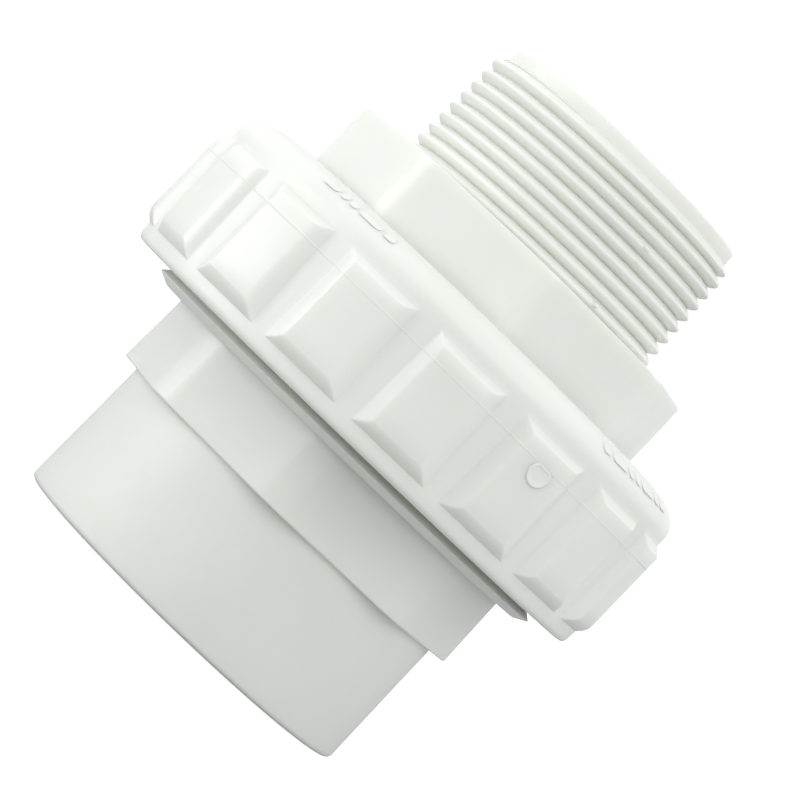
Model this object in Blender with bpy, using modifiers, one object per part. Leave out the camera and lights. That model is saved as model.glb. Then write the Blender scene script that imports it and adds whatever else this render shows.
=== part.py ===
"""Pipe union, 1-1/2 inch, white PVC: slip socket end, threaded tailpiece, captive ring nut and face seal.

Metres, +Z along the waterway, origin at the centre of the pipe socket's mouth, where the fitting stands.
The socket end carries a coarse union thread. The ring nut turns on it, and its inner shoulder clamps the
tailpiece's flange on the O-ring. Lengths are written in millimetres and turned to metres by MM.
"""

import math

import bmesh
import bpy
from mathutils import Matrix, Vector

MM = 0.001

# Levels along the waterway, from the socket's mouth up.
HUB_TOP = 22.2
LIP_BOTTOM = 34.1
LIP_TIP = 35.2
NUT_BOTTOM = 36.4
THREAD_RELIEF = 37.3
SEAT = 50.0
NUT_TOP = 62.5
COLLAR_TOP = 73.8
TOTAL_LENGTH = 95.6
SEAT_GAP = 0.3

# Pipe socket and waterway, as radii.
HUB_MOUTH_R = 30.57
HUB_ROOT_R = 30.25
LIP_R = 37.9
PIPE_MOUTH_R = 24.28
PIPE_STOP_R = 24.06
PIPE_STOP = 33.0
WATERWAY_R = 20.5
THREADED_BORE_R = 19.0
BORE_TAPER_START = 70.0
BORE_TAPER_END = 74.5

# Wrench collars: octagons with the corners turned off.
SOCKET_COLLAR_APOTHEM = 31.0
SOCKET_COLLAR_CORNER_R = 32.8
SOCKET_COLLAR_TURN = math.radians(-93.0)
TAIL_COLLAR_APOTHEM = 30.6
TAIL_COLLAR_CORNER_R = 32.75
TAIL_COLLAR_TURN = math.radians(-81.7)
COLLAR_CHAMFER = 0.6
COLLAR_CORE_R = 26.5

# Union thread between the socket end and the ring nut.
UNION_PITCH = 4.0
UNION_ROOT_R = 36.2
UNION_CREST_R = 37.7
UNION_LOW = 39.3
UNION_HIGH = 47.9
UNION_TURNS = (UNION_HIGH - UNION_LOW) / UNION_PITCH
UNION_BASE_HALF = 1.25
UNION_CREST_HALF = 0.45
NUT_BORE_R = 38.1
NUT_CREST_R = 36.6
NUT_BASE_HALF = 1.46
NUT_CREST_HALF = 0.66

# Seal.
GROOVE_INNER_R = 25.2
GROOVE_OUTER_R = 29.8
GROOVE_DEPTH = 3.2
SEAL_WIDTH = 3.7
SEAL_HEIGHT = 2.6

# Ring nut.
NUT_WALL_R = 43.9
NUT_RIM_R = 43.75
NUT_SHOULDER = 57.6
SHOULDER_START_R = 37.2
SHOULDER_DEPTH = 4.3
SHOULDER_STEPS = 6
NUT_HOLE_R = 33.5
PAD_COUNT = 16
PAD_R = 45.4
PAD_FIRST_ANGLE = math.radians(6.75)
PAD_FACE_HALF_ANGLE = math.radians(5.95)
PAD_BASE_HALF_ANGLE = math.radians(8.85)
PAD_BOTTOM = 39.1
PAD_TOP = 56.5
PAD_FACE_BOTTOM = 40.5
PAD_FACE_TOP = 55.2

# Tailpiece.
FLANGE_R = 36.1
FLANGE_TOP = 57.2
PIPE_PITCH = 25.4 / 11.5
PIPE_TAPER = 1.0 / 32.0
PIPE_CREST_R = 24.28
PIPE_THREAD_DEPTH = 1.5
PIPE_THREAD_LOW = 75.1
PIPE_THREAD_HIGH = 92.3
PIPE_TURNS = (PIPE_THREAD_HIGH - PIPE_THREAD_LOW) / PIPE_PITCH
PIPE_BASE_HALF = 0.96
PIPE_CREST_HALF = 0.22
LEAD_R = 22.15
LEAD_START = 93.5

# Facets round each piece, which its own threads share, and how far joined shapes reach into each other.
UNION_SEGMENTS = 64
TAIL_SEGMENTS = 48
SEAL_SEGMENTS = 40
SEAL_POINTS = 12
OVERLAP = 0.5
SMOOTH_ANGLE = math.radians(32.0)


def clear_scene():
    for item in list(bpy.data.objects):
        bpy.data.objects.remove(item)


def new_collection(name):
    collection = bpy.data.collections.new(name)
    bpy.context.scene.collection.children.link(collection)
    return collection


def plastic(name, colour, roughness):
    material = bpy.data.materials.new(name)
    material.use_nodes = True
    shader = material.node_tree.nodes["Principled BSDF"]
    shader.inputs["Base Color"].default_value = (*colour, 1.0)
    shader.inputs["Roughness"].default_value = roughness
    shader.inputs["Metallic"].default_value = 0.0
    return material


def add_object(name, build, collection):
    """An object whose mesh comes from one bmesh that build fills."""
    shape = bmesh.new()
    build(shape)
    mesh = bpy.data.meshes.new(name)
    shape.to_mesh(mesh)
    shape.free()
    made = bpy.data.objects.new(name, mesh)
    collection.objects.link(made)
    return made


def as_cutter(cutter):
    """Marks a helper that only takes part in Booleans."""
    cutter.hide_render = True
    cutter.display_type = "WIRE"
    return cutter


def turned(name, outline, segments, collection):
    """A ring turned from a closed outline of (radius, level), down its outer side and up its bore."""

    def build(shape):
        points = [shape.verts.new((radius * MM, 0.0, level * MM)) for radius, level in outline]
        for first, second in zip(points, points[1:] + points[:1]):
            shape.edges.new((first, second))

    ring = add_object(name, build, collection)
    screw = ring.modifiers.new("turn", "SCREW")
    screw.angle = math.tau
    screw.steps = segments
    screw.render_steps = segments
    screw.use_merge_vertices = True
    screw.merge_threshold = 0.00001
    return ring


def boolean(target, other, operation):
    modifier = target.modifiers.new(f"{operation.lower()} {other.name}", "BOOLEAN")
    modifier.operation = operation
    modifier.solver = "EXACT"
    modifier.object = other


def finish_part(part, material):
    """Applies the modifiers, and shades the round faces smooth."""
    bpy.context.view_layer.update()
    evaluated = part.evaluated_get(bpy.context.evaluated_depsgraph_get())
    mesh = bpy.data.meshes.new_from_object(evaluated)
    part.modifiers.clear()
    part.data = mesh
    mesh.name = part.name
    mesh.materials.clear()
    mesh.materials.append(material)
    mesh.shade_smooth()
    mesh.set_sharp_from_angle(angle=SMOOTH_ANGLE)


def octagon_ring(name, apothem, corner_r, turn, bottom, top, chamfer, segments, cutters):
    """A wrench collar: a turned ring whose outside is cut back to eight flats."""
    outline = [
        (corner_r - chamfer, top),
        (corner_r, top - chamfer),
        (corner_r, bottom),
        (COLLAR_CORE_R, bottom),
        (COLLAR_CORE_R, top),
    ]
    ring = as_cutter(turned(name, outline, segments, cutters))

    def build(shape):
        radius = apothem / math.cos(math.pi / 8)
        depth = top - bottom + 4 * OVERLAP
        centre = Matrix.Translation((0.0, 0.0, (top + bottom) / 2 * MM))
        bmesh.ops.create_cone(
            shape,
            cap_ends=True,
            segments=8,
            radius1=radius * MM,
            radius2=radius * MM,
            depth=depth * MM,
            matrix=centre @ Matrix.Rotation(turn, 4, "Z"),
        )

    prism = as_cutter(add_object(name + "_flats", build, cutters))
    boolean(ring, prism, "INTERSECT")
    return ring


def helical_ridge(name, low, pitch, turns, start_angle, section, steps, fade_turns, collection):
    """A closed thread ridge. section(level) gives its base and crest radius, and their half widths.

    The ridge climbs anticlockwise seen from above, a right-hand thread, in so many steps a turn, and
    sinks into the wall that carries it over fade_turns at both ends.
    """

    def build(shape):
        count = round(turns * steps)
        rings = []
        for step in range(count + 1):
            turned_by = step / steps
            angle = start_angle + math.tau * turned_by
            level = low + pitch * turned_by
            base_r, crest_r, base_half, crest_half = section(level)
            from_end = min(turned_by, turns - turned_by)
            share = min(1.0, max(0.0, from_end / fade_turns))
            height_r = base_r + (crest_r - base_r) * (0.12 + 0.88 * share)
            corners = (
                (base_r, -base_half),
                (height_r, -crest_half),
                (height_r, crest_half),
                (base_r, base_half),
            )
            rings.append(
                [
                    shape.verts.new(
                        (
                            radius * math.cos(angle) * MM,
                            radius * math.sin(angle) * MM,
                            (level + rise) * MM,
                        )
                    )
                    for radius, rise in corners
                ]
            )
        for here, there in zip(rings, rings[1:]):
            for corner in range(4):
                following = (corner + 1) % 4
                shape.faces.new((here[corner], there[corner], there[following], here[following]))
        shape.faces.new(rings[0])
        shape.faces.new(reversed(rings[-1]))
        bmesh.ops.recalc_face_normals(shape, faces=shape.faces[:])

    return as_cutter(add_object(name, build, collection))


def male_union_section(_level):
    reach = UNION_CREST_R - UNION_ROOT_R + OVERLAP
    slope = (UNION_BASE_HALF - UNION_CREST_HALF) / (UNION_CREST_R - UNION_ROOT_R)
    return UNION_ROOT_R - OVERLAP, UNION_CREST_R, UNION_CREST_HALF + slope * reach, UNION_CREST_HALF


def female_union_section(_level):
    slope = (NUT_BASE_HALF - NUT_CREST_HALF) / (NUT_BORE_R - NUT_CREST_R)
    base_half = NUT_BASE_HALF + slope * OVERLAP
    return NUT_BORE_R + OVERLAP, NUT_CREST_R, base_half, NUT_CREST_HALF


def pipe_thread_crest(level):
    return PIPE_CREST_R - (level - PIPE_THREAD_LOW) * PIPE_TAPER


def pipe_thread_section(level):
    crest_r = pipe_thread_crest(level)
    return crest_r - PIPE_THREAD_DEPTH - OVERLAP / 2, crest_r, PIPE_BASE_HALF, PIPE_CREST_HALF


def make_socket_end(parts, cutters, material):
    """Slip socket for the pipe, wrench collar, lip, male union thread and the grooved seat."""
    outline = [
        (UNION_ROOT_R - 0.9, SEAT),
        (UNION_ROOT_R, SEAT - 0.9),
        (UNION_ROOT_R, THREAD_RELIEF),
        (LIP_R - 0.9, LIP_TIP + 0.7),
        (LIP_R, LIP_TIP),
        (LIP_R - 2.1, LIP_BOTTOM),
        (HUB_ROOT_R, LIP_BOTTOM),
        (HUB_ROOT_R, HUB_TOP),
        (HUB_MOUTH_R, 0.6),
        (HUB_MOUTH_R - 0.6, 0.0),
        (PIPE_MOUTH_R + 0.8, 0.0),
        (PIPE_MOUTH_R, 0.8),
        (PIPE_STOP_R, PIPE_STOP),
        (WATERWAY_R, PIPE_STOP),
        (WATERWAY_R, SEAT),
        (GROOVE_INNER_R, SEAT),
        (GROOVE_INNER_R, SEAT - GROOVE_DEPTH),
        (GROOVE_OUTER_R, SEAT - GROOVE_DEPTH),
        (GROOVE_OUTER_R, SEAT),
    ]
    body = turned("socket_end", outline, UNION_SEGMENTS, parts)
    collar = octagon_ring(
        "socket_collar",
        SOCKET_COLLAR_APOTHEM,
        SOCKET_COLLAR_CORNER_R,
        SOCKET_COLLAR_TURN,
        HUB_TOP,
        LIP_BOTTOM + OVERLAP,
        0.01,
        UNION_SEGMENTS,
        cutters,
    )
    ridge = helical_ridge(
        "union_thread_ridge",
        UNION_LOW,
        UNION_PITCH,
        UNION_TURNS,
        0.0,
        male_union_section,
        UNION_SEGMENTS,
        0.12,
        cutters,
    )
    boolean(body, collar, "UNION")
    boolean(body, ridge, "UNION")
    finish_part(body, material)
    return body


def make_seal(parts, material):
    """Face O-ring, already squeezed to an oval between its groove and the flange."""
    centre_r = (GROOVE_INNER_R + GROOVE_OUTER_R) / 2
    centre = SEAT - SEAL_HEIGHT / 2
    outline = []
    for index in range(SEAL_POINTS):
        angle = math.tau * index / SEAL_POINTS
        radius = centre_r + SEAL_WIDTH / 2 * math.sin(angle)
        outline.append((radius, centre + SEAL_HEIGHT / 2 * math.cos(angle)))
    seal = turned("face_o_ring", outline, SEAL_SEGMENTS, parts)
    finish_part(seal, material)
    return seal


def make_tailpiece(parts, cutters, material):
    """Clamped flange, wrench collar and the tapered male pipe thread with its plain lead."""
    seat = SEAT + SEAT_GAP
    root_low = pipe_thread_crest(COLLAR_TOP) - PIPE_THREAD_DEPTH
    root_high = pipe_thread_crest(LEAD_START) - PIPE_THREAD_DEPTH
    outline = [
        (LEAD_R - 0.5, TOTAL_LENGTH),
        (LEAD_R, TOTAL_LENGTH - 0.5),
        (LEAD_R, LEAD_START),
        (root_high, LEAD_START - 0.3),
        (root_low, COLLAR_TOP),
        (COLLAR_CORE_R + 2.0, COLLAR_TOP),
        (COLLAR_CORE_R + 2.0, FLANGE_TOP),
        (FLANGE_R - 0.5, FLANGE_TOP),
        (FLANGE_R, FLANGE_TOP - 0.5),
        (FLANGE_R, seat + 0.5),
        (FLANGE_R - 0.5, seat),
        (WATERWAY_R, seat),
        (WATERWAY_R, BORE_TAPER_START),
        (THREADED_BORE_R, BORE_TAPER_END),
        (THREADED_BORE_R, TOTAL_LENGTH - 0.4),
        (THREADED_BORE_R + 0.4, TOTAL_LENGTH),
    ]
    body = turned("threaded_tailpiece", outline, TAIL_SEGMENTS, parts)
    collar = octagon_ring(
        "tail_collar",
        TAIL_COLLAR_APOTHEM,
        TAIL_COLLAR_CORNER_R,
        TAIL_COLLAR_TURN,
        FLANGE_TOP - OVERLAP,
        COLLAR_TOP + 0.001,
        COLLAR_CHAMFER,
        TAIL_SEGMENTS,
        cutters,
    )
    ridge = helical_ridge(
        "pipe_thread_ridge",
        PIPE_THREAD_LOW,
        PIPE_PITCH,
        PIPE_TURNS,
        0.0,
        pipe_thread_section,
        TAIL_SEGMENTS,
        0.2,
        cutters,
    )
    boolean(body, collar, "UNION")
    boolean(body, ridge, "UNION")
    finish_part(body, material)
    return body


def grip_pads(cutters):
    """All the nut's grip pads: truncated pyramids standing on its wall."""
    inside_r = NUT_WALL_R - 2 * OVERLAP

    def on_pad(angle, half_angle, radius, level):
        across = (angle + half_angle) - math.pi / 2
        return Vector((radius * math.cos(across), radius * math.sin(across), level)) * MM

    def build(shape):
        for index in range(PAD_COUNT):
            angle = PAD_FIRST_ANGLE + math.tau * index / PAD_COUNT
            made = bmesh.ops.create_cube(shape, size=2.0)["verts"]
            for corner in made:
                side = corner.co.x
                outer = corner.co.y > 0
                up = corner.co.z > 0
                if outer:
                    level = PAD_FACE_TOP if up else PAD_FACE_BOTTOM
                    corner.co = on_pad(angle, side * PAD_FACE_HALF_ANGLE, PAD_R, level)
                else:
                    level = PAD_TOP if up else PAD_BOTTOM
                    corner.co = on_pad(angle, side * PAD_BASE_HALF_ANGLE, inside_r, level)
        bmesh.ops.recalc_face_normals(shape, faces=shape.faces[:])

    return as_cutter(add_object("grip_pads", build, cutters))


def make_nut(parts, cutters, material):
    """Ring nut: grip pads outside, union thread and the clamping shoulder inside."""
    shoulder_arc = []
    for step in range(SHOULDER_STEPS + 1):
        angle = math.pi / 2 * step / SHOULDER_STEPS
        radius = SHOULDER_START_R + (NUT_WALL_R - SHOULDER_START_R) * math.sin(angle)
        shoulder_arc.append((radius, NUT_TOP - SHOULDER_DEPTH * (1.0 - math.cos(angle))))
    outline = [
        (NUT_HOLE_R + 0.6, NUT_TOP),
        *shoulder_arc,
        (NUT_WALL_R, PAD_BOTTOM),
        (NUT_RIM_R, NUT_BOTTOM + 0.9),
        (NUT_RIM_R - 0.9, NUT_BOTTOM),
        (NUT_BORE_R + 0.6, NUT_BOTTOM),
        (NUT_BORE_R, NUT_BOTTOM + 0.6),
        (NUT_BORE_R, NUT_SHOULDER),
        (NUT_HOLE_R, NUT_SHOULDER),
        (NUT_HOLE_R, NUT_TOP - 0.6),
    ]
    body = turned("union_nut", outline, UNION_SEGMENTS, parts)
    ridge = helical_ridge(
        "nut_thread_ridge",
        UNION_LOW + UNION_PITCH / 2 - UNION_PITCH * 0.25,
        UNION_PITCH,
        UNION_TURNS,
        -math.pi / 2,
        female_union_section,
        UNION_SEGMENTS,
        0.12,
        cutters,
    )
    boolean(body, grip_pads(cutters), "UNION")
    boolean(body, ridge, "UNION")
    finish_part(body, material)
    return body


def main():
    clear_scene()
    parts = new_collection("union_fitting")
    cutters = new_collection("cutters")
    socket_plastic = plastic("socket_pvc", (0.80, 0.83, 0.82), 0.34)
    tail_plastic = plastic("tailpiece_pvc", (0.82, 0.85, 0.84), 0.34)
    nut_plastic = plastic("nut_pvc", (0.84, 0.86, 0.85), 0.38)
    rubber = plastic("seal_rubber", (0.02, 0.02, 0.02), 0.6)
    make_socket_end(parts, cutters, socket_plastic)
    make_seal(parts, rubber)
    make_tailpiece(parts, cutters, tail_plastic)
    make_nut(parts, cutters, nut_plastic)


main()
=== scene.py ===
"""Looks of the white PVC pipe union: moulded surfaces, both threads, the seal, a pale floor and soft light.

Every shape is worked out in millimetres and turned to metres when its mesh is made. Levels count up the
waterway from the socket's mouth, and angles count anticlockwise from +X, seen from the threaded end.
"""

import math
import random

import bpy
import bmesh
import numpy as np
from mathutils import Matrix, Vector


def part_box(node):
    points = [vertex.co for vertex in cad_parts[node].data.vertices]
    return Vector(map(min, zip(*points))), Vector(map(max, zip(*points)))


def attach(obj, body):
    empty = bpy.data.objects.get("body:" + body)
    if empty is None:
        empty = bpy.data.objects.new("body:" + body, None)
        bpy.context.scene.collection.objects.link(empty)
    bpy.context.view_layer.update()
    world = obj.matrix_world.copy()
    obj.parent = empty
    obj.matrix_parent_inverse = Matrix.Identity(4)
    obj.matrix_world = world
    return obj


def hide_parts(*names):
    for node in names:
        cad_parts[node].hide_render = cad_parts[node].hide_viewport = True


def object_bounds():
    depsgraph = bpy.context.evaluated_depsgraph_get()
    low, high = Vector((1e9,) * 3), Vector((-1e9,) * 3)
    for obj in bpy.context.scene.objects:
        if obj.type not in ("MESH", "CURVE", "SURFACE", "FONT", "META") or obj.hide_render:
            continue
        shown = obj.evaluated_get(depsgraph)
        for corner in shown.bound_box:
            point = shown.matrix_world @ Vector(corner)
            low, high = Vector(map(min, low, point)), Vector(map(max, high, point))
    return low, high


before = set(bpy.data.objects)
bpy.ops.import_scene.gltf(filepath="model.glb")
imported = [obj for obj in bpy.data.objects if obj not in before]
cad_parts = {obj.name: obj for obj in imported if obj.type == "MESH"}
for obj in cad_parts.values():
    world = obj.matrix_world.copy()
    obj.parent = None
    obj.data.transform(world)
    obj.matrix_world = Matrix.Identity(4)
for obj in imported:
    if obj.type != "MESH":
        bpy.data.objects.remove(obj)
cad_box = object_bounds()

MM = 0.001

# ------------------------------------------------------------------ sizes taken from the frame
socket_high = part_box("socket_end")[1] / MM
tail_low, tail_high = (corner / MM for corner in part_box("threaded_tailpiece"))
nut_low, nut_high = (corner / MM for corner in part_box("union_nut"))
seal_low, seal_high = (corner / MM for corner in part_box("face_o_ring"))

SEAT = socket_high.z
LIP_R = socket_high.x
FLANGE_LOW = tail_low.z
FLANGE_R = tail_high.x
TOP = tail_high.z
NUT_LOW = nut_low.z
NUT_TOP = nut_high.z
PAD_R = (nut_high.y - nut_low.y) / 2
SEAL_R = seal_high.x
SEAL_LOW = seal_low.z
SEAL_TOP = seal_high.z

# ------------------------------------------------------------------ sizes of what the solids leave plain
PAD_RISE = 1.45
FLASH = 0.065
WALL_R = PAD_R - PAD_RISE - FLASH
PAD_COUNT = 16
PAD_FIRST = math.radians(6.75 - 90.0)
PAD_FACE_HALF = math.radians(5.95)
PAD_BASE_HALF = math.radians(8.85)
PAD_TAPER = 0.09
PAD_LOW = NUT_LOW + 2.7
PAD_HIGH = NUT_LOW + 20.15
PAD_FACE_LOW = PAD_LOW + 1.45
PAD_FACE_HIGH = PAD_HIGH - 1.2
PARTING_LEVEL = NUT_LOW + 16.6
SHOULDER_START_R = 37.2
SHOULDER_DEPTH = 4.3

COLLAR_TOP = TOP - 21.8
THREAD_PITCH = 25.4 / 11.5
THREAD_DEPTH = 1.45
THREAD_CREST_R = 24.25
THREAD_TAPER = 1.0 / 32.0
THREAD_PHASE_LEVEL = COLLAR_TOP + 1.42
LEAD_R = 22.15
LEAD_START = TOP - 2.1

UNION_PITCH = 4.0
UNION_MALE_START = 39.3
UNION_MALE_ROOT_R = 36.2
UNION_FEMALE_ROOT_R = 38.1
UNION_RIDGE = 1.5
UNION_TURNS = 2.15
UNION_RUN_OUT = 0.1

HUB_R = 30.57
PIPE_STOP = 33.0
WATERWAY_R = 20.5
TAIL_BORE_R = 19.0
GROOVE_IN_R = 25.2
GROOVE_OUT_R = 29.8
GROOVE_DEPTH = 3.2
NUT_HOLE_R = 33.5
NUT_CLAMP_DEPTH = 4.9

GATE_ANGLE = math.radians(29.8 - 90.0)
GATE_LEVEL = PARTING_LEVEL - 1.5
NUB_ANGLE = math.radians(30.0 - 90.0)
DASH_R = 42.12
DASH_LEVEL = NUT_TOP - 1.42
DASH_HEIGHT = 0.9
DASH_RISE = 0.16
DASH_GAP = 0.55
DASH_LEAN = 1.6


# ------------------------------------------------------------------ outlines
def rounded(corners, steps=4):
    """An outline with its corners filleted. A corner is (radius, level, fillet, collar share)."""
    outline = []
    last = len(corners) - 1
    for index, (radius, level, fillet, share) in enumerate(corners):
        here = Vector((radius, level))
        if fillet <= 0.0 or index in (0, last):
            outline.append((radius, level, share))
            continue
        before = Vector(corners[index - 1][:2]) - here
        after = Vector(corners[index + 1][:2]) - here
        reach = fillet / math.tan(before.angle(after) / 2)
        reach = min(reach, 0.48 * before.length, 0.48 * after.length)
        start = here + before.normalized() * reach
        end = here + after.normalized() * reach
        for step in range(steps + 1):
            t = step / steps
            point = start.lerp(here, t).lerp(here.lerp(end, t), t)
            outline.append((point.x, point.y, share))
    return outline


def octagon_gap(angle, apothem, corner_r, turn, blend=0.12):
    """How far an octagon with turned corners stands inside its corner radius at this angle."""
    off = (angle - turn) % (math.pi / 4) - math.pi / 8
    flat = apothem / math.cos(off)
    softened = blend * math.log(math.exp(-flat / blend) + math.exp(-corner_r / blend))
    return corner_r + softened


def octagon_columns(apothem, corner_r, turn):
    """Angles round the axis, close together where a flat meets a turned corner."""
    edge = math.pi / 8 - math.acos(apothem / corner_r)
    near = math.radians(0.45)
    first_flat = edge + 3 * near
    beside = [-first_flat, -edge - near, -edge, -edge + near, 0.0, edge - near, edge, edge + near, first_flat]
    flat_width = math.pi / 4 - 2 * first_flat
    flat_steps = 16
    offsets = beside + [first_flat + flat_width * step / flat_steps for step in range(1, flat_steps)]
    angles = [turn + math.pi / 4 * corner + offset for corner in range(8) for offset in offsets]
    return sorted(angle % math.tau for angle in angles)


def finer(columns, widest_degrees):
    """The same angles with more between them wherever two stand far apart."""
    made = []
    for here, there in zip(columns, list(columns[1:]) + [columns[0] + math.tau]):
        steps = max(1, math.ceil(math.degrees(there - here) / widest_degrees))
        made += [here + (there - here) * step / steps for step in range(steps)]
    return made


def object_of(name, shape, sharp_degrees=180.0):
    """A smooth-shaded object from a finished bmesh, sharp where it bends by more than the angle."""
    mesh = bpy.data.meshes.new(name)
    shape.to_mesh(mesh)
    shape.free()
    mesh.shade_smooth()
    mesh.set_sharp_from_angle(angle=math.radians(sharp_degrees))
    made = bpy.data.objects.new(name, mesh)
    bpy.context.scene.collection.objects.link(made)
    return made


class Skin:
    """A closed surface built ring by ring round the axis, outwards down, in, up the bore and back."""

    NEARLY_FLAT = 0.002

    def __init__(self, columns):
        self.columns = np.array(columns)
        self.points = []
        self.faces = []
        self.first = None
        self.last = None

    def new_ring(self, radius, level, columns=None):
        angles = self.columns if columns is None else columns
        radii = np.broadcast_to(radius, angles.shape)
        levels = np.broadcast_to(level, angles.shape)
        start = len(self.points)
        for angle, r, z in zip(angles, radii, levels):
            self.points.append((r * math.cos(angle), r * math.sin(angle), z))
        return list(range(start, len(self.points)))

    def middle_radius(self, first, second):
        return math.hypot(*[(self.points[first][axis] + self.points[second][axis]) / 2 for axis in (0, 1)])

    def join(self, upper, lower):
        """Quads between two rings. One that is bent is split along the diagonal that stands further out."""
        count = len(upper)
        for here in range(count):
            there = (here + 1) % count
            a, b, c, d = upper[here], lower[here], lower[there], upper[there]
            bend = self.middle_radius(a, c) - self.middle_radius(b, d)
            if abs(bend) < self.NEARLY_FLAT:
                self.faces.append((a, b, c, d))
            elif bend > 0:
                self.faces += [(a, b, c), (a, c, d)]
            else:
                self.faces += [(a, b, d), (b, c, d)]

    def ring(self, radius, level, columns=None):
        made = self.new_ring(radius, level, columns)
        if self.last is None:
            self.first = made
        else:
            self.join(self.last, made)
        self.last = made
        return made

    def thread(self, end_level, pitch, phase_level, shares, radius_at):
        """A helical wall from the last ring to a new one at end_level, its rows following the helix.

        shares are places across one pitch, from 0 at the crest, and radius_at(share, level, crest_turn) gives
        the surface, crest_turn being how far round the helix its nearest crest is. The new ring takes the
        radius that the helix has there.
        """
        start_level = self.points[self.last[0]][2]
        low, high = sorted((start_level, end_level))
        span = len(shares)
        count = len(self.columns)
        turn_of = self.columns / math.tau
        first_turn = math.floor((low - phase_level) / pitch) - 2
        last_turn = math.ceil((high - phase_level) / pitch) + 1

        def radius_on(share, level):
            crest_turn = (level - phase_level) / pitch - (share if share < 0.5 else share - 1.0)
            return radius_at(share, level, crest_turn)

        def radius_of_column(index, level):
            return radius_on(((level - phase_level) / pitch - turn_of[index]) % 1.0, level)

        end_radii = [radius_of_column(index, end_level) for index in range(count)]
        end_ring = self.new_ring(np.array(end_radii), end_level)
        low_ring, high_ring = (self.last, end_ring) if start_level < end_level else (end_ring, self.last)
        near_end = 0.03
        made = {}

        def vertex(column, row):
            if column == count:
                column = 0
                row += span
            turns, place = divmod(row, span)
            level = phase_level + pitch * (first_turn + turns + turn_of[column] + shares[place])
            if level <= low + near_end:
                return low_ring[column]
            if level >= high - near_end:
                return high_ring[column]
            key = (column, row)
            if key not in made:
                radius = radius_on(shares[place], level)
                angle = self.columns[column]
                made[key] = len(self.points)
                self.points.append((radius * math.cos(angle), radius * math.sin(angle), level))
            return made[key]

        rows = (last_turn - first_turn + 1) * span
        for row in range(rows):
            for column in range(count):
                corners = [
                    vertex(column, row),
                    vertex(column + 1, row),
                    vertex(column + 1, row + 1),
                    vertex(column, row + 1),
                ]
                face = [corner for place, corner in enumerate(corners) if corner not in corners[:place]]
                if len(face) >= 3 and not set(face) <= set(low_ring) and not set(face) <= set(high_ring):
                    self.faces.append(tuple(face))
        self.last = end_ring
        return end_ring

    def close(self):
        self.join(self.last, self.first)

    def mesh(self, name, sharp_degrees=38.0):
        shape = bmesh.new()
        vertices = [shape.verts.new(Vector(point) * MM) for point in self.points]
        for face in self.faces:
            try:
                shape.faces.new([vertices[corner] for corner in face])
            except ValueError:
                continue
        loose = [vertex for vertex in shape.verts if not vertex.link_faces]
        bmesh.ops.delete(shape, geom=loose, context="VERTS")
        bmesh.ops.recalc_face_normals(shape, faces=shape.faces[:])
        return object_of(name, shape, sharp_degrees)


# ------------------------------------------------------------------ thread forms
def pipe_share_heights():
    """Places across one pitch of the pipe thread and the height there: full round crests, narrow roots."""
    half = []
    for share in (0.0, 0.03, 0.065, 0.105, 0.15, 0.2, 0.25, 0.3, 0.35, 0.4, 0.445, 0.48):
        height = 1.0 - ((2.0 * share) ** 2 + 0.012) ** 0.82 + 0.0265
        half.append((share, min(1.0, height)))
    other = [(1.0 - share, height) for share, height in reversed(half[1:])]
    return half + [(0.5, 0.0)] + other


def union_share_heights(crest_half, base_half):
    """Places across one pitch of the union thread and the ridge height there."""
    crest = crest_half / UNION_PITCH
    base = base_half / UNION_PITCH
    half = [(0.0, 1.0), (crest * 0.8, 1.0), (crest, 0.97), (crest + 0.02, 0.88)]
    half += [(base - 0.02, 0.1), (base, 0.02), (base + 0.03, 0.0)]
    other = [(1.0 - share, height) for share, height in reversed(half[1:])]
    return half + other


def union_run_out(turn):
    """How much of the union thread's ridge stands there, its two ends fading out."""
    return min(1.0, max(0.0, turn / UNION_RUN_OUT), max(0.0, (UNION_TURNS - turn) / UNION_RUN_OUT))


def interpolated(pairs, share):
    shares = [pair[0] for pair in pairs] + [1.0]
    heights = [pair[1] for pair in pairs] + [pairs[0][1]]
    return float(np.interp(share, shares, heights))


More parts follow.
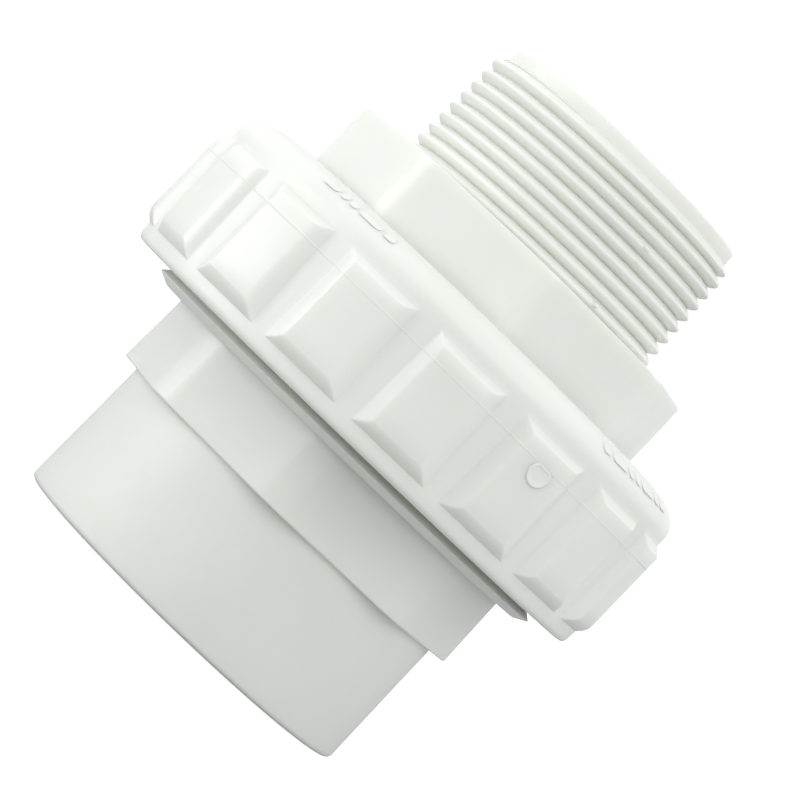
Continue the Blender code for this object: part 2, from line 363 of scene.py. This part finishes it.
# ------------------------------------------------------------------ pieces
def socket_piece():
    """Slip socket hub, wrench collar, lip, union thread, grooved seat and stepped bore."""
    apothem, corner_r, turn = 31.0, 32.75, math.radians(-93.0)
    skin = Skin(octagon_columns(apothem, corner_r, turn))
    gap = np.array([octagon_gap(angle, apothem, corner_r, turn) for angle in skin.columns])
    collar_top = SEAT - 15.9
    collar_low = SEAT - 27.8
    corners_up = [
        (UNION_MALE_ROOT_R, SEAT - 12.5, 0.0, 0),
        (UNION_MALE_ROOT_R, SEAT - 12.7, 0.4, 0),
        (36.55, NUT_LOW - 0.12, 0.25, 0),
        (LIP_R, SEAT - 14.8, 0.15, 0),
        (LIP_R - 2.1, collar_top + 0.02, 0.3, 0),
        (corner_r - 0.15, collar_top, 0.25, 1),
        (corner_r + 0.2, collar_low, 0.35, 1),
        (30.25, collar_low + 0.02, 0.35, 0),
        (HUB_R, 0.0, 0.85, 0),
        (24.9, 0.0, 0.0, 0),
        (24.28, 0.75, 0.2, 0),
        (24.06, PIPE_STOP, 0.3, 0),
        (WATERWAY_R, PIPE_STOP, 0.3, 0),
        (WATERWAY_R, SEAT, 0.35, 0),
        (GROOVE_IN_R, SEAT, 0.2, 0),
        (GROOVE_IN_R, SEAT - GROOVE_DEPTH, 0.5, 0),
        (GROOVE_OUT_R, SEAT - GROOVE_DEPTH, 0.5, 0),
        (GROOVE_OUT_R, SEAT, 0.2, 0),
        (34.9, SEAT, 0.0, 0),
    ]
    pairs = union_share_heights(0.45, 1.25)
    thread_top = SEAT - 1.4

    def radius_at(share, _level, crest_turn):
        return UNION_MALE_ROOT_R + UNION_RIDGE * interpolated(pairs, share) * union_run_out(crest_turn)

    skin.ring(35.35, SEAT - 0.2)
    skin.ring(36.1, SEAT - 0.95)
    skin.ring(UNION_MALE_ROOT_R, thread_top)
    skin.thread(SEAT - 12.4, UNION_PITCH, UNION_MALE_START, [pair[0] for pair in pairs], radius_at)
    for radius, level, share in rounded(corners_up):
        skin.ring(radius - share * gap, level)
    skin.close()
    return skin.mesh("socket_end_moulding")


def tailpiece_piece():
    """Clamped flange, wrench collar, tapered pipe thread with its plain lead, and the bore."""
    apothem, corner_r, turn = 30.6, 32.7, math.radians(-81.7)
    skin = Skin(finer(octagon_columns(apothem, corner_r, turn), 1.3))
    gap = np.array([octagon_gap(angle, apothem, corner_r, turn) for angle in skin.columns])
    pairs = pipe_share_heights()
    heights = dict(pairs)

    def radius_at(share, level, _crest_turn):
        height = heights[share] if share in heights else interpolated(pairs, share)
        crest = THREAD_CREST_R - (level - THREAD_PHASE_LEVEL) * THREAD_TAPER
        radius = crest - THREAD_DEPTH * (1.0 - height)
        chamfer = LEAD_R + max(0.0, LEAD_START - level) * 1.3
        return max(LEAD_R - 0.1, min(radius, chamfer))

    top = [
        (TAIL_BORE_R, TOP - 1.5, 0.0, 0),
        (TAIL_BORE_R, TOP, 0.4, 0),
        (LEAD_R, TOP, 0.35, 0),
        (LEAD_R, LEAD_START + 0.15, 0.0, 0),
    ]
    for radius, level, _share in rounded(top):
        skin.ring(radius, level)
    skin.thread(COLLAR_TOP, THREAD_PITCH, THREAD_PHASE_LEVEL, [pair[0] for pair in pairs], radius_at)
    chamfer_rows = 8
    chamfer_depth = 0.6
    chamfer_r = 31.7
    skin.ring(25.6, COLLAR_TOP)
    for step in range(chamfer_rows + 1):
        t = step / chamfer_rows
        inset = 0.3 * (1.0 - math.sin(min(1.0, t * 2.5) * math.pi / 2))
        level = COLLAR_TOP - chamfer_depth * t * t
        limit = chamfer_r + (corner_r - chamfer_r) * math.sin(t * math.pi / 2)
        skin.ring(np.minimum(corner_r - gap - inset, limit), level)
    flange_top = FLANGE_LOW + 6.9
    lower = [
        (corner_r + 0.12, FLANGE_LOW + 7.4, 0.0, 1),
        (corner_r + 0.12, flange_top, 0.3, 1),
        (FLANGE_R, flange_top, 0.5, 0),
        (FLANGE_R, FLANGE_LOW, 0.5, 0),
        (WATERWAY_R, FLANGE_LOW, 0.4, 0),
        (WATERWAY_R, 70.0, 1.0, 0),
        (TAIL_BORE_R, 74.5, 1.0, 0),
        (TAIL_BORE_R, 78.0, 0.0, 0),
    ]
    for radius, level, share in rounded(lower):
        skin.ring(radius - share * gap, level)
    skin.close()
    return skin.mesh("threaded_tailpiece_moulding")


def bevel_shares():
    """Places across a pad's bevel and the height there, rounded where it meets the wall and the face."""
    places = (-0.12, 0.0, 0.12, 0.3, 0.5, 0.7, 0.88, 1.0, 1.12)
    heights = (0.0, 0.03, 0.13, 0.31, 0.5, 0.69, 0.87, 0.97, 1.0)
    return list(zip(places, heights))


def nut_columns():
    """Angles from a pad's centre to the next pad, each with the height share there and how far it tapers.

    The left bevel has the usual rounding, and the right one meets the face in a longer curve.
    """
    bevel = PAD_BASE_HALF - PAD_FACE_HALF
    rise = [(-PAD_BASE_HALF + bevel * place, height) for place, height in bevel_shares()]
    soft_places = (1.3, 1.12, 0.95, 0.76, 0.56, 0.37, 0.2, 0.05, -0.1)
    soft_heights = (1.0, 0.975, 0.92, 0.82, 0.65, 0.45, 0.25, 0.07, 0.0)
    fall = [(PAD_BASE_HALF - bevel * place, height) for place, height in zip(soft_places, soft_heights)]
    face_steps = 6
    left, right = rise[-1][0], fall[0][0]
    face = [(left + (right - left) * step / face_steps, 1.0) for step in range(1, face_steps)]
    gap_left = fall[-1][0]
    gap_right = math.tau / PAD_COUNT + rise[0][0]
    gap_steps = 3
    gap = [(gap_left + (gap_right - gap_left) * step / gap_steps, 0.0) for step in range(1, gap_steps)]
    pad = [(offset, height, 1.0 - 0.6 * height) for offset, height in rise + face + fall]
    return pad + [(offset, 0.0, 0.0) for offset, _height in gap]


def nut_piece():
    """Ring nut: grip pads with rounded bevels, parting line, shoulder, hole and union thread."""
    per_pad = nut_columns()
    centres = np.repeat(PAD_FIRST + math.tau * np.arange(PAD_COUNT) / PAD_COUNT, len(per_pad))
    offsets, shares, tapers = np.tile(np.array(per_pad).T, PAD_COUNT)
    skin = Skin(centres + offsets)
    middle = (PAD_LOW + PAD_HIGH) / 2
    pad_height = PAD_HIGH - PAD_LOW

    def padded(level, share, extra=0.0):
        widened = 1.0 + tapers * PAD_TAPER * (middle - level) / pad_height
        columns = centres + offsets * widened
        return skin.ring(WALL_R + extra + PAD_RISE * np.minimum(shares, share), level, columns)

    skin.ring(34.1, NUT_TOP)
    skin.ring(35.6, NUT_TOP - 0.02)
    arc_steps = 18
    for step in range(arc_steps + 1):
        angle = math.pi / 2 * step / arc_steps
        radius = SHOULDER_START_R + (WALL_R - SHOULDER_START_R) * math.sin(angle)
        skin.ring(radius, NUT_TOP - 0.1 - (SHOULDER_DEPTH - 0.1) * (1.0 - math.cos(angle)))
    skin.ring(WALL_R, (NUT_TOP - SHOULDER_DEPTH + PAD_HIGH) / 2)
    top_bevel = PAD_FACE_HIGH - PAD_HIGH
    for place, height in bevel_shares():
        padded(PAD_HIGH + top_bevel * place, height)
    parting_ridge = ((0.2, 0.0), (0.1, 0.0), (0.03, FLASH), (-0.03, FLASH), (-0.14, 0.0), (-0.26, 0.0))
    for above, extra in parting_ridge:
        padded(PARTING_LEVEL + above, 1.0, extra)
    face_rows = 5
    low_bevel = (PAD_FACE_LOW - PAD_LOW) * 1.4
    face_end = PAD_LOW + low_bevel
    for step in range(1, face_rows):
        padded(PARTING_LEVEL + (face_end - PARTING_LEVEL) * step / face_rows, 1.0)
    bevel_rows = 12
    for step in range(bevel_rows + 1):
        t = 1.0 - step / bevel_rows
        padded(PAD_LOW + low_bevel * t, 0.4 * t + 0.6 * (1.0 - (1.0 - t) ** 2.2))
    padded(PAD_LOW - 0.12, 0.0)
    bore = [
        (WALL_R, PAD_LOW - 0.35, 0.0, 0),
        (WALL_R - 0.1, NUT_LOW, 1.5, 0),
        (38.7, NUT_LOW, 0.0, 0),
        (UNION_FEMALE_ROOT_R, NUT_LOW + 0.6, 0.2, 0),
        (UNION_FEMALE_ROOT_R, NUT_LOW + 1.0, 0.0, 0),
    ]
    for radius, level, _share in rounded(bore):
        skin.ring(radius, level)
    pairs = union_share_heights(0.66, 1.46)

    def radius_at(share, _level, crest_turn):
        ridge = UNION_RIDGE * interpolated(pairs, share) * union_run_out(crest_turn + 0.25)
        return UNION_FEMALE_ROOT_R - ridge

    phase = UNION_MALE_START + UNION_PITCH / 2
    skin.thread(SEAT + 1.6, UNION_PITCH, phase, [pair[0] for pair in pairs], radius_at)
    clamp_level = NUT_TOP - NUT_CLAMP_DEPTH
    inside = [
        (UNION_FEMALE_ROOT_R, NUT_TOP - 7.0, 0.0, 0),
        (UNION_FEMALE_ROOT_R, clamp_level, 0.5, 0),
        (NUT_HOLE_R, clamp_level, 0.3, 0),
        (NUT_HOLE_R, NUT_TOP - 0.6, 0.0, 0),
    ]
    for radius, level, _share in rounded(inside):
        skin.ring(radius, level)
    skin.close()
    return skin.mesh("union_nut_moulding")


def seal_piece():
    """O-ring squeezed to an oval, with the fine parting flash that moulded rubber keeps."""
    skin = Skin([math.tau * step / 160 for step in range(160)])
    half_width = 1.85
    centre_r = SEAL_R - half_width
    centre = (SEAL_LOW + SEAL_TOP) / 2
    half_height = (SEAL_TOP - SEAL_LOW) / 2
    points = 36
    for step in range(points):
        angle = math.tau * step / points
        flash = 0.03 if step == points // 4 else 0.0
        radius = centre_r + (half_width + flash) * math.sin(angle)
        skin.ring(radius, centre + half_height * math.cos(angle))
    skin.close()
    return skin.mesh("face_o_ring_moulding", 60.0)


# ------------------------------------------------------------------ small moulded marks
def object_from(name, points, faces, sharp_degrees=40.0):
    """A closed mesh from points in millimetres."""
    shape = bmesh.new()
    vertices = [shape.verts.new(Vector(point) * MM) for point in points]
    for face in faces:
        shape.faces.new([vertices[corner] for corner in face])
    bmesh.ops.recalc_face_normals(shape, faces=shape.faces[:])
    return object_of(name, shape, sharp_degrees)


def wall_point(wall_angle, across, up, level, radius):
    """A point on the wall of a cylinder, so far across and up from a place on it."""
    angle = wall_angle + across / radius
    return (radius * math.cos(angle), radius * math.sin(angle), level + up)


def gate_mark():
    """The gate mark on one pad: a shallow ring with a dished middle, cut off flat at the parting line."""
    rim = [(2.1, -0.4), (2.04, -0.02), (1.94, 0.075), (1.8, 0.12), (1.62, 0.085), (1.42, 0.02)]
    dish = [(1.0, 0.0), (0.5, -0.01)]
    rings = rim + dish
    sides = 48
    height_share = 0.92
    flat_share = 1.45 / 2.05
    face_r = PAD_R - FLASH + 0.015
    points = []
    faces = []
    for reach, rise in rings:
        for side in range(sides):
            angle = math.tau * side / sides
            across = reach * math.cos(angle)
            up = reach * min(height_share * math.sin(angle), flat_share)
            points.append(wall_point(GATE_ANGLE, across, up, GATE_LEVEL, face_r + rise))
    for ring in range(len(rings) - 1):
        for side in range(sides):
            after = (side + 1) % sides
            first, second = ring * sides, (ring + 1) * sides
            faces.append((first + side, first + after, second + after, second + side))
    faces.append(tuple(range(sides)))
    faces.append(tuple(range((len(rings) - 1) * sides, len(rings) * sides)))
    return object_from("nut_gate_mark", points, faces)


def dash_row(name, first_degrees, last_degrees, lengths):
    """A row of plain raised dashes round the nut's shoulder, each a low bar with rounded ends."""
    points = []
    faces = []
    span = math.radians(last_degrees - first_degrees)
    gap = DASH_GAP * DASH_HEIGHT
    total = sum(lengths) + gap * (len(lengths) - 1)
    scale = span * DASH_R / total
    travelled = 0.0
    profile = ((0.0, -0.5), (0.0, 0.25), (0.16, 0.8), (0.34, 1.0))
    for length in lengths:
        centre = math.radians(first_degrees - 90.0) + (travelled + length / 2) * scale / DASH_R
        travelled += length + gap
        half = length * scale / 2
        start = len(points)
        outline = []
        ends = 6
        for end in (1, -1):
            for step in range(ends + 1):
                turn = math.pi * (step / ends - 0.5)
                outline.append((end, math.cos(turn) * end, math.sin(turn) * end))
        count = len(outline)
        for inset, lift in profile:
            reach = DASH_HEIGHT / 2 * (1.0 - inset)
            for end, along, up in outline:
                across = end * (half - DASH_HEIGHT / 2) + along * reach
                above = up * reach
                point_r = DASH_R + DASH_RISE * lift - above * DASH_LEAN
                points.append(wall_point(centre, across, above, DASH_LEVEL, point_r))
        for row in range(len(profile) - 1):
            for corner in range(count):
                after = (corner + 1) % count
                first, second = start + row * count, start + (row + 1) * count
                faces.append((first + corner, first + after, second + after, second + corner))
        faces.append(tuple(range(start, start + count)))
        faces.append(tuple(range(start + (len(profile) - 1) * count, start + len(profile) * count)))
    return object_from(name, points, faces)


def thread_nubs():
    """Three specks of flash on the pipe thread's crests, one above the other."""
    random.seed(7)
    shape = bmesh.new()
    for turn, size, lean in ((0.1, 0.5, 0.0), (4.0, 0.38, 0.3), (5.1, 0.42, -0.2)):
        level = THREAD_PHASE_LEVEL + THREAD_PITCH * (turn + NUB_ANGLE / math.tau)
        radius = THREAD_CREST_R - (level - THREAD_PHASE_LEVEL) * THREAD_TAPER + 0.04
        centre = Vector(wall_point(NUB_ANGLE, lean, 0.0, level, radius)) * MM
        made = bmesh.ops.create_icosphere(shape, subdivisions=3, radius=size * MM)["verts"]
        stretch = Vector((1.0 + random.uniform(-0.2, 0.3), 0.9, 0.62))
        for vertex in made:
            ripple = math.sin(vertex.co.x * 9000.0 + size * 40) * math.cos(vertex.co.z * 11000.0)
            vertex.co = centre + vertex.co * stretch * (1.0 + 0.16 * ripple)
    return object_of("thread_nubs", shape)


# ------------------------------------------------------------------ materials
class Shader:
    """Short calls for building a node tree round one Principled shader."""

    def __init__(self, name):
        self.material = bpy.data.materials.new(name)
        self.material.use_nodes = True
        self.tree = self.material.node_tree
        self.main = self.tree.nodes["Principled BSDF"]

    def node(self, kind, inputs=None, **settings):
        made = self.tree.nodes.new(kind)
        for key, value in settings.items():
            setattr(made, key, value)
        for key, value in (inputs or {}).items():
            self.set(made, key, value)
        return made

    def set(self, node, key, value):
        socket = node.inputs[key]
        if isinstance(value, bpy.types.NodeSocket):
            self.tree.links.new(value, socket)
        else:
            socket.default_value = value

    def coordinates(self, stretch=(1.0, 1.0, 1.0)):
        source = self.node("ShaderNodeTexCoord")
        mapped = self.node("ShaderNodeMapping", {"Vector": source.outputs["Object"], "Scale": stretch})
        return mapped.outputs["Vector"]

    def noise(self, vector, scale, detail=3.0, roughness=0.5):
        inputs = {"Vector": vector, "Scale": scale, "Detail": detail, "Roughness": roughness}
        return self.node("ShaderNodeTexNoise", inputs).outputs["Fac"]

    def spread(self, value, low, high, from_low=0.3, from_high=0.7):
        inputs = {"Value": value, "From Min": from_low, "From Max": from_high, "To Min": low, "To Max": high}
        return self.node("ShaderNodeMapRange", inputs).outputs["Result"]

    def bump(self, height, strength, distance, normal=None):
        inputs = {"Height": height, "Strength": strength, "Distance": distance}
        if normal is not None:
            inputs["Normal"] = normal
        return self.node("ShaderNodeBump", inputs).outputs["Normal"]

    def mixed(self, share, first, second):
        mix = self.node("ShaderNodeMix", data_type="RGBA")
        self.set(mix, 0, share)
        self.set(mix, 6, first)
        self.set(mix, 7, second)
        return mix.outputs[2]


def pvc(name, colour, shade, roughness, grain=1.0, glow=0.6):
    """Injection-moulded white PVC: slight flow clouds, orange peel, satin gloss that varies, fine scuffs."""
    made = Shader(name)
    place = made.coordinates()
    clouds = made.noise(place, 55.0, 4.0, 0.55)
    mottle = made.mixed(made.spread(clouds, 0.0, 1.0), (*colour, 1.0), (*shade, 1.0))
    made.set(made.main, "Base Color", mottle)
    sheen = made.noise(place, 140.0, 5.0, 0.6)
    made.set(made.main, "Roughness", made.spread(sheen, roughness - 0.05, roughness + 0.06))
    peel = made.noise(place, 900.0, 3.0, 0.5)
    waves = made.noise(place, 90.0, 2.0, 0.4)
    scuffs = made.noise(made.coordinates((60.0, 900.0, 60.0)), 1.0, 2.0, 0.7)
    normal = made.bump(waves, 0.05 * grain, 0.002)
    normal = made.bump(peel, 0.06 * grain, 0.0003, normal)
    normal = made.bump(scuffs, 0.03 * grain, 0.0002, normal)
    made.set(made.main, "Normal", normal)
    made.main.inputs["IOR"].default_value = 1.52
    made.main.inputs["Subsurface Weight"].default_value = glow
    made.main.inputs["Subsurface Radius"].default_value = (1.0, 0.9, 0.7)
    made.main.inputs["Subsurface Scale"].default_value = 0.0025
    return made.material


def rubber(name):
    """Dull black EPDM with faint bloom."""
    made = Shader(name)
    place = made.coordinates()
    bloom = made.noise(place, 260.0, 5.0, 0.6)
    greys = ((0.012, 0.012, 0.013, 1.0), (0.035, 0.035, 0.036, 1.0))
    made.set(made.main, "Base Color", made.mixed(bloom, *greys))
    made.set(made.main, "Roughness", made.spread(bloom, 0.5, 0.72))
    made.set(made.main, "Normal", made.bump(made.noise(place, 1500.0, 3.0), 0.15, 0.0002))
    return made.material


def dress(piece, material, body, node):
    """Gives a piece its material, ties it to its body and hides the node it stands for."""
    piece.data.materials.clear()
    piece.data.materials.append(material)
    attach(piece, body)
    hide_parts(node)
    return piece


# ------------------------------------------------------------------ stage, light and camera
def make_floor():
    """A wide pale floor under the socket's mouth."""
    shape = bmesh.new()
    bmesh.ops.create_circle(shape, cap_ends=True, segments=96, radius=4.0)
    mesh = bpy.data.meshes.new("floor")
    shape.to_mesh(mesh)
    shape.free()
    floor = bpy.data.objects.new("floor", mesh)
    floor.location.z = cad_box[0].z - 0.0002
    bpy.context.scene.collection.objects.link(floor)
    made = Shader("floor_paint")
    grain = made.noise(made.coordinates(), 30.0, 3.0)
    made.set(made.main, "Base Color", made.mixed(grain, (0.44, 0.44, 0.44, 1.0), (0.46, 0.46, 0.46, 1.0)))
    made.main.inputs["Roughness"].default_value = 0.9
    made.main.inputs["Specular IOR Level"].default_value = 0.0
    made.main.inputs["Emission Color"].default_value = (1.0, 1.0, 1.0, 1.0)
    seen = made.node("ShaderNodeLightPath").outputs["Is Camera Ray"]
    made.set(made.main, "Emission Strength", made.spread(seen, 0.0, 0.9, 0.0, 1.0))
    floor.data.materials.append(made.material)
    return floor


def softbox(name, place, target, size, power):
    """A white area light that the camera doesn't see."""
    data = bpy.data.lights.new(name, "AREA")
    data.shape = "RECTANGLE"
    data.size = size[0]
    data.size_y = size[1]
    data.energy = power
    lamp = bpy.data.objects.new(name, data)
    lamp.location = place
    lamp.rotation_euler = (Vector(target) - Vector(place)).to_track_quat("-Z", "Y").to_euler()
    lamp.visible_camera = False
    bpy.context.scene.collection.objects.link(lamp)
    return lamp


def make_world(seen, lit):
    """White all round. What lights the object is dimmer than what is seen behind it."""
    world = bpy.data.worlds.new("studio")
    bpy.context.scene.world = world
    world.use_nodes = True
    tree = world.node_tree
    background = tree.nodes["Background"]
    background.inputs["Color"].default_value = (1.0, 1.0, 1.0, 1.0)
    path = tree.nodes.new("ShaderNodeLightPath")
    scale = tree.nodes.new("ShaderNodeMapRange")
    scale.inputs["To Min"].default_value = lit
    scale.inputs["To Max"].default_value = seen
    tree.links.new(path.outputs["Is Camera Ray"], scale.inputs["Value"])
    tree.links.new(scale.outputs["Result"], background.inputs["Strength"])


def make_camera(place, target, roll_degrees, lens):
    """A camera that looks along +Y, rolled so that the waterway climbs to the right."""
    data = bpy.data.cameras.new("camera")
    data.sensor_width = 36.0
    data.lens = lens
    data.clip_start = 0.05
    camera = bpy.data.objects.new("camera", data)
    back = (Vector(place) - Vector(target)).normalized()
    right = Vector((0.0, 0.0, 1.0)).cross(back).normalized()
    upright = Matrix((right, back.cross(right), back)).transposed()
    roll = Matrix.Rotation(math.radians(roll_degrees), 3, "Z")
    camera.matrix_world = Matrix.Translation(Vector(place) * MM) @ (upright @ roll).to_4x4()
    bpy.context.scene.collection.objects.link(camera)
    bpy.context.scene.camera = camera
    return camera


# ------------------------------------------------------------------ the scene
white_socket = pvc("white_pvc_socket", (0.79, 0.815, 0.775), (0.765, 0.79, 0.75), 0.33)
white_tail = pvc("white_pvc_tailpiece", (0.80, 0.82, 0.78), (0.775, 0.795, 0.755), 0.33)
nut_colours = ((0.80, 0.825, 0.785), (0.775, 0.8, 0.76))
white_nut = pvc("white_pvc_nut", *nut_colours, 0.37, grain=1.3)
nut_marks = pvc("white_pvc_nut_marks", *nut_colours, 0.37, grain=1.3, glow=0.0)
tail_specks = pvc("white_pvc_tailpiece_specks", (0.86, 0.87, 0.84), (0.84, 0.85, 0.82), 0.33, glow=0.0)
black_rubber = rubber("black_epdm")

dress(socket_piece(), white_socket, "socket", "socket_end")
dress(tailpiece_piece(), white_tail, "tailpiece", "threaded_tailpiece")
dress(nut_piece(), white_nut, "nut", "union_nut")
dress(seal_piece(), black_rubber, "socket", "face_o_ring")

dress(gate_mark(), nut_marks, "nut", "union_nut")
shoulder_dashes = (
    (-41.0, -20.0, (2.2, 1.0, 1.0, 3.0, 1.4)),
    (39.0, 71.0, (1.2, 2.6, 1.0, 1.0, 3.0, 1.4, 2.0)),
)
for index, (first, last, lengths) in enumerate(shoulder_dashes):
    dashes = dash_row(f"nut_shoulder_dashes_{index + 1}", first, last, lengths)
    dress(dashes, nut_marks, "nut", "union_nut")
dress(thread_nubs(), tail_specks, "tailpiece", "threaded_tailpiece")

make_floor()
centre = Vector((0.0, 0.0, 0.048))
softbox("left", (-1.0, -0.05, 0.16), centre, (0.9, 0.3), 1.2)
softbox("low_left", (-0.38, -0.1, 0.028), Vector((0.0, 0.0, 0.02)), (0.3, 0.05), 0.36)
softbox("front", (0.45, -0.9, 0.6), centre, (0.8, 0.8), 2.4)
make_world(seen=1.05, lit=1.0)
make_camera(place=(1.26, -620.0, 44.5), target=(1.26, 0.0, 45.8), roll_degrees=43.9, lens=187.2)

scene = bpy.context.scene
scene.view_settings.view_transform = "Standard"
scene.view_settings.look = "None"
